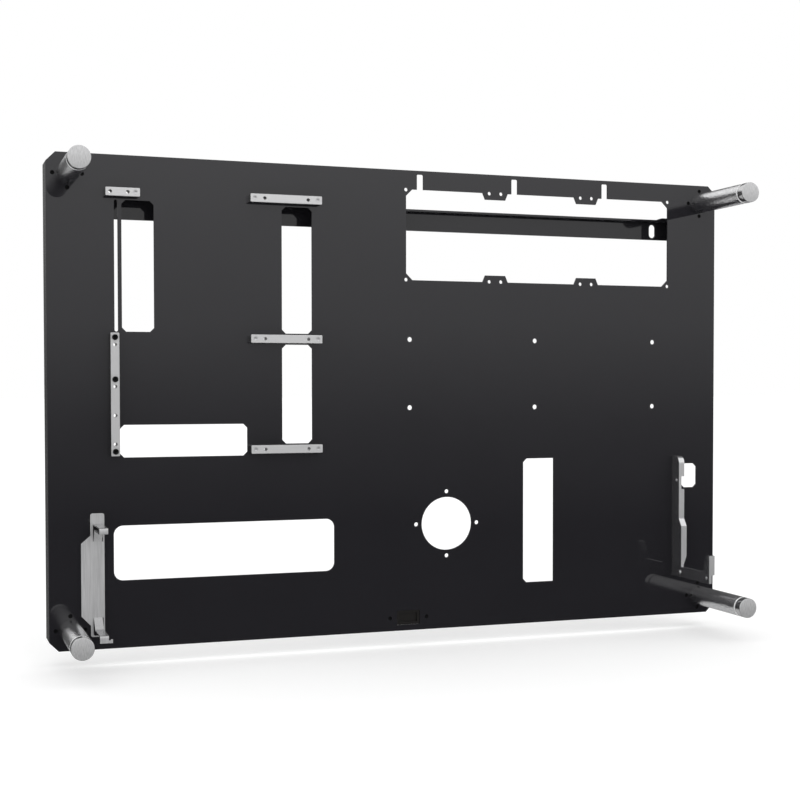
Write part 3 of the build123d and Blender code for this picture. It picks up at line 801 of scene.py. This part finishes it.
@dataclass
class BackPanel:
    """The pieces that keep their packed form: panel, rail, corner brackets, wall pads and switch module."""

    coated: dict[str, str] = field(default_factory=lambda: {
        "back_panel": "panel",
        "wall_rail": "rail",
        "upper_bracket_left": "rail",
        "upper_bracket_right": "rail",
        "lower_bracket_left": "rail",
        "lower_bracket_right": "rail",
        "wall_pad_left": "rubber",
        "wall_pad_right": "rubber",
        "switch_module": "switch",
    })

    def build(self, shop: Workshop) -> None:
        """Give each piece its coat.

        Args:
            shop: The workshop.
        """
        for node, finish in self.coated.items():
            shop.dress(node, finish)


@dataclass(frozen=True)
class ScrewKind:
    """The form of one hexagon socket screw, in millimetres."""

    thread: float
    pitch: float
    head: float
    head_height: float
    key: float
    length: float
    finish: str
    slot: str
    countersunk: bool = False
    from_behind: bool = False
    rim: float = 0.12
    socket_share: float = 0.7
    drill_share: float = 0.2
    core_share: float = 0.6
    crest_start: float = 0.4
    crest_end: float = 0.55
    tip_chamfer: float = 0.1
    tip_height: float = 0.15
    cone_edge: float = 0.05

    def seat(self, low: Vector, high: Vector) -> Vector:
        """Where the screw sits, from the box of its solid.

        Args:
            low: The box's lowest corner.
            high: The box's highest corner.

        Returns:
            The point on its axis at depth 0.
        """
        proud = 0.0 if self.countersunk else self.head_height * MM
        depth = high.y - proud if self.from_behind else low.y + proud
        return Vector(((low.x + high.x) / 2, depth, (low.z + high.z) / 2))

    def profile(self) -> list[tuple]:
        """The outline of the shank with its thread turns, the head and the socket.

        Returns:
            The radius, the depth and whether the ring is a hexagon, in metres.
        """
        crest = self.thread / 2
        core = crest - self.core_share * self.pitch
        under = -self.head_height if self.countersunk else 0.0
        rings = [(0.0, -self.length), (core - self.tip_chamfer, -self.length)]
        turn = -self.length + self.tip_height
        while turn + self.pitch < under:
            rings += [(core, turn), (crest, turn + self.crest_start * self.pitch),
                      (crest, turn + self.crest_end * self.pitch)]
            turn += self.pitch
        rings += [(core, turn), (core, under)]
        half = self.head / 2
        if self.countersunk:
            top = 0.0
            rings += [(crest, under), (half - self.cone_edge, -self.cone_edge), (half - self.rim, 0.0)]
        else:
            top = self.head_height
            rings += [(half - self.rim, 0.0), (half, self.rim), (half, top - 3 * self.rim),
                      (half - self.rim, top - self.rim), (half - 3 * self.rim, top)]
        flat = self.key / 2
        corner = flat / math.cos(SIXTH / 2)
        floor = top - self.head_height * self.socket_share
        rings += [(corner + self.rim, top), (flat, top - self.rim, True), (flat, floor, True),
                  (0.0, floor - self.drill_share * flat)]
        return [(radius * MM, depth * MM, *hexagon) for radius, depth, *hexagon in rings]


# The screws that several groups share or start from
FLUSH_TINY = ScrewKind(thread=2.5, pitch=0.45, head=4.7, head_height=1.1, key=1.5, length=4.5,
                       finish="screw_black", slot="screw_dark", countersunk=True)
FLUSH_BOARD = ScrewKind(thread=3.0, pitch=0.5, head=5.5, head_height=1.3, key=2.0, length=8.0,
                        finish="screw_steel", slot="screw_steel", countersunk=True, socket_share=0.4)
REAR = ScrewKind(thread=3.0, pitch=0.5, head=5.6, head_height=2.0, key=2.0, length=10.0,
                 finish="screw_black", slot="screw_black", from_behind=True)


@dataclass
class Fasteners:
    """Every group of screws, one screw shape set on the places of each group."""

    steps: int = 36
    seed: int = 7
    sharp: float = 30.0
    kinds: dict[str, ScrewKind] = field(default_factory=lambda: {
        "post_base_screws": FLUSH_TINY,
        "switch_screws": FLUSH_TINY,
        "board_screws_flush": FLUSH_BOARD,
        "board_screws_black": replace(REAR, head=6.2, head_height=2.2, length=8.0, from_behind=False),
        "post_bolts": replace(REAR, thread=6.0, pitch=1.0, head=10.0, head_height=4.0, key=4.0,
                              length=17.5),
        "bar_rear_screws": REAR,
        "card_bracket_screws": replace(REAR, length=3.5),
        "supply_bracket_screws": replace(REAR, length=14.0),
    })

    def build(self, shop: Workshop) -> None:
        """Build every group over its solids.

        Args:
            shop: The workshop.
        """
        tree = self._tree()
        for node, kind in self.kinds.items():
            self._group(shop, tree, node, kind)

    def _tree(self) -> bpy.types.GeometryNodeTree:
        """The nodes that set one screw on each point, each turned by its own amount.

        Returns:
            The node tree.
        """
        tree = bpy.data.node_groups.new("screws_on_points", "GeometryNodeTree")
        sockets = {
            "Points": "Geometry",
            "Screw": "Object",
            "Facing": "Float",
            "Seed": "Int",
            "Material": "Material",
        }
        for name, kind in sockets.items():
            tree.interface.new_socket(name, in_out="INPUT", socket_type="NodeSocket" + kind)
        tree.interface.new_socket("Screws", in_out="OUTPUT", socket_type="NodeSocketGeometry")
        given = tree.nodes.new("NodeGroupInput")
        result = tree.nodes.new("NodeGroupOutput")
        shape = tree.nodes.new("GeometryNodeObjectInfo")
        spin = tree.nodes.new("FunctionNodeRandomValue")
        spin.data_type = "FLOAT"
        # The third and fourth input are the limits of a random number, and the second output gives it
        least, most = spin.inputs[2:4]
        least.default_value = 0.0
        most.default_value = SIXTH
        turn = tree.nodes.new("ShaderNodeCombineXYZ")
        copies = tree.nodes.new("GeometryNodeInstanceOnPoints")
        real = tree.nodes.new("GeometryNodeRealizeInstances")
        coat = tree.nodes.new("GeometryNodeSetMaterial")
        join = tree.links.new
        join(given.outputs["Points"], copies.inputs["Points"])
        join(given.outputs["Screw"], shape.inputs["Object"])
        join(shape.outputs["Geometry"], copies.inputs["Instance"])
        join(given.outputs["Seed"], spin.inputs["Seed"])
        join(spin.outputs[1], turn.inputs["Y"])
        join(given.outputs["Facing"], turn.inputs["Z"])
        join(turn.outputs["Vector"], copies.inputs["Rotation"])
        join(copies.outputs["Instances"], real.inputs["Geometry"])
        join(real.outputs["Geometry"], coat.inputs["Geometry"])
        join(given.outputs["Material"], coat.inputs["Material"])
        join(coat.outputs["Geometry"], result.inputs["Screws"])
        return tree

    def _group(self, shop: Workshop, tree: bpy.types.GeometryNodeTree, node: str, kind: ScrewKind) -> None:
        """Build one group of screws.

        Args:
            shop: The workshop.
            tree: The nodes that set a screw on each point.
            node: The name of the group's solids.
            kind: The form of its screws.
        """
        points = bmesh.new()
        for low, high in shop.solids(node):
            points.verts.new(kind.seat(low, high))
        made = linked(node + "_turned", points)
        shape = linked(node + "_shape", turned(kind.profile(), Vector((0.0, 0.0, 0.0)), self.steps))
        shape.data.shade_smooth()
        shape.data.set_sharp_from_angle(angle=math.radians(self.sharp))
        fill = made.modifiers.new("screws", "NODES")
        fill.node_group = tree
        values = {
            "Screw": shape,
            "Facing": math.pi if kind.from_behind else 0.0,
            "Seed": self.seed,
            "Material": shop.materials[kind.finish],
        }
        for item in tree.interface.items_tree:
            if item.name in values:
                fill[item.identifier] = values[item.name]
        shop.settle(made)
        bpy.data.objects.remove(shape)
        shop.hand_over(made, node)


@dataclass
class Studio:
    """The pale floor, the light and the camera.

    Lengths are in metres and angles in degrees, apart from the camera's sensor in millimetres and its
    lens in pixels of the photograph. The glow tables give the level of a mirrored direction by its
    height: in front of the panel, behind it on the left, and behind it on the right.
    """

    photo_pixels: float = 800.0
    focal_pixels: float = 1460.6
    centre_column: float = 452.6
    centre_row: float = 426.6
    sensor: float = 36.0
    camera_place: tuple[float, float, float] = (-0.5499, -1.6631, -0.1942)
    yaw: float = 20.426
    pitch: float = 1.668
    floor_gap: float = 0.018
    floor_reach: float = 30.0
    floor_colour: float = 0.80
    floor_roughness: float = 0.9
    floor_glow: float = 0.27
    fill: float = 1.05
    highest: float = 0.5
    behind_blend: float = 0.1
    right_blend: float = 0.14
    front_glow: tuple[tuple[float, float], ...] = (
        (-0.095, 0.01), (-0.025, 0.2), (0.042, 0.57), (0.11, 0.76), (0.14, 0.87), (0.2, 1.0))
    back_glow: tuple[tuple[float, float], ...] = (
        (-0.28, 0.5), (-0.2, 0.12), (0.0, 0.08), (0.18, 0.2), (0.34, 0.9), (0.5, 0.9))
    right_glow: tuple[tuple[float, float], ...] = (
        (-0.28, 0.4), (-0.2, 0.1), (0.0, 0.08), (0.28, 0.08), (0.5, 0.12))
    key_power: float = 14.0
    key_size: float = 1.1
    key_place: tuple[float, float, float] = (0.15, -2.9, 0.35)

    def build(self) -> None:
        """Set up the camera, the world, the lamp and the floor."""
        self._camera()
        self._world()
        self._key()
        self._floor()
        bpy.context.scene.view_settings.view_transform = "Standard"

    def _camera(self) -> None:
        """Put the camera where the photograph was taken from."""
        data = bpy.data.cameras.new("camera")
        data.sensor_width = self.sensor
        data.lens = self.focal_pixels / self.photo_pixels * self.sensor
        half = self.photo_pixels / 2
        data.shift_x = (half - self.centre_column) / self.photo_pixels
        data.shift_y = (self.centre_row - half) / self.photo_pixels
        camera = bpy.data.objects.new("camera", data)
        camera.location = self.camera_place
        camera.rotation_euler = (math.radians(90.0 - self.pitch), 0.0, -math.radians(self.yaw))
        bpy.context.scene.collection.objects.link(camera)
        bpy.context.scene.camera = camera

    def _world(self) -> None:
        """A bright studio whose mirror image dims towards the horizon, with white behind the object."""
        world = bpy.data.worlds.new("studio")
        world.use_nodes = True
        tree = world.node_tree
        tree.nodes.clear()
        output = tree.nodes.new("ShaderNodeOutputWorld")
        background = tree.nodes.new("ShaderNodeBackground")
        direction = tree.nodes.new("ShaderNodeTexCoord")
        parts = tree.nodes.new("ShaderNodeSeparateXYZ")
        rays = tree.nodes.new("ShaderNodeLightPath")
        tree.links.new(direction.outputs["Generated"], parts.inputs["Vector"])
        height = self._between(tree, parts.outputs["Z"], -self.highest, self.highest)
        behind = self._between(tree, parts.outputs["Y"], -self.behind_blend, self.behind_blend)
        rightward = self._between(tree, parts.outputs["X"], 0.0, self.right_blend)
        front = self._glow(tree, height, self.front_glow)
        back_left = self._glow(tree, height, self.back_glow)
        back_right = self._glow(tree, height, self.right_glow)
        back = self._choice(tree, rightward, back_left, back_right)
        mirrored = self._choice(tree, behind, front, back)
        lit = self._choice(tree, rays.outputs["Is Glossy Ray"], self._grey(tree, self.fill), mirrored)
        seen = self._choice(tree, rays.outputs["Is Camera Ray"], lit, self._grey(tree, 1.0))
        tree.links.new(seen, background.inputs["Color"])
        tree.links.new(background.outputs["Background"], output.inputs["Surface"])
        bpy.context.scene.world = world

    def _between(self, tree: bpy.types.NodeTree, value: bpy.types.NodeSocket, low: float,
                 high: float) -> bpy.types.NodeSocket:
        """How far a value is on its way between two limits.

        Args:
            tree: The world's nodes.
            value: The value.
            low: The limit that gives 0.
            high: The limit that gives 1.

        Returns:
            The value socket.
        """
        node = tree.nodes.new("ShaderNodeMapRange")
        node.inputs["From Min"].default_value = low
        node.inputs["From Max"].default_value = high
        tree.links.new(value, node.inputs["Value"])
        return node.outputs["Result"]

    def _grey(self, tree: bpy.types.NodeTree, level: float) -> bpy.types.NodeSocket:
        """One even grey.

        Args:
            tree: The world's nodes.
            level: How bright it is.

        Returns:
            The colour socket.
        """
        node = tree.nodes.new("ShaderNodeRGB")
        node.outputs[0].default_value = (level, level, level, 1.0)
        return node.outputs[0]

    def _glow(self, tree: bpy.types.NodeTree, height: bpy.types.NodeSocket,
              stops: Sequence[tuple[float, float]]) -> bpy.types.NodeSocket:
        """A grey that depends on how high a direction points.

        Args:
            tree: The world's nodes.
            height: The direction's height, 0 at the lowest and 1 at the highest.
            stops: Heights and their levels, from the lowest up.

        Returns:
            The colour socket.
        """
        node = tree.nodes.new("ShaderNodeValToRGB")
        ramp = node.color_ramp
        while len(ramp.elements) < len(stops):
            ramp.elements.new(1.0)
        for element, (place, level) in zip(ramp.elements, stops):
            element.position = (place + self.highest) / (2 * self.highest)
            element.color = (level, level, level, 1.0)
        tree.links.new(height, node.inputs["Fac"])
        return node.outputs["Color"]

    def _choice(self, tree: bpy.types.NodeTree, factor: bpy.types.NodeSocket, none: bpy.types.NodeSocket,
                full: bpy.types.NodeSocket) -> bpy.types.NodeSocket:
        """Mix two colours.

        Args:
            tree: The world's nodes.
            factor: How much of the second colour.
            none: The colour at 0.
            full: The colour at 1.

        Returns:
            The colour socket.
        """
        mix = tree.nodes.new("ShaderNodeMix")
        mix.data_type = "RGBA"
        tree.links.new(factor, mix.inputs["Factor"])
        tree.links.new(none, mix.inputs["A"])
        tree.links.new(full, mix.inputs["B"])
        return mix.outputs["Result"]

    def _key(self) -> None:
        """A soft lamp in front of the panel, which throws the openings' light on the rail."""
        data = bpy.data.lights.new("key", "AREA")
        data.shape = "DISK"
        data.size = self.key_size
        data.energy = self.key_power
        lamp = bpy.data.objects.new("key", data)
        place = Vector(self.key_place)
        lamp.location = place
        low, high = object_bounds()
        aim = (low + high) / 2
        lamp.rotation_euler = (aim - place).to_track_quat("-Z", "Y").to_euler()
        lamp.visible_glossy = False
        bpy.context.scene.collection.objects.link(lamp)

    def _floor(self) -> None:
        """A wide white floor just under the object, which keeps its soft shadow."""
        mesh = bmesh.new()
        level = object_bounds()[0].z - self.floor_gap
        reach = self.floor_reach
        corners = ((-reach, -reach), (reach, -reach), (reach, reach), (-reach, reach))
        mesh.faces.new([mesh.verts.new((x, y, level)) for x, y in corners])
        floor = linked("floor", mesh)
        shader = Shader("floor_white").set(Roughness=self.floor_roughness, Specular_IOR_Level=0.0)
        shader.set(Base_Color=(self.floor_colour, self.floor_colour, self.floor_colour, 1.0))
        shader.set(Emission_Color=(1.0, 1.0, 1.0, 1.0), Emission_Strength=self.floor_glow)
        floor.data.materials.append(shader.material)
        floor.visible_glossy = False
        floor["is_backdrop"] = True


def main() -> None:
    """Build the case and its studio."""
    logging.basicConfig(level=logging.INFO, format="%(name)s: %(message)s")
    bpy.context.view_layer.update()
    Studio().build()
    shop = Workshop(Finishes().made())
    for assembly in (BackPanel(), Posts(), BoardBars(), Brackets(), Fasteners()):
        assembly.build(shop)


if __name__ == "__main__":
    main()
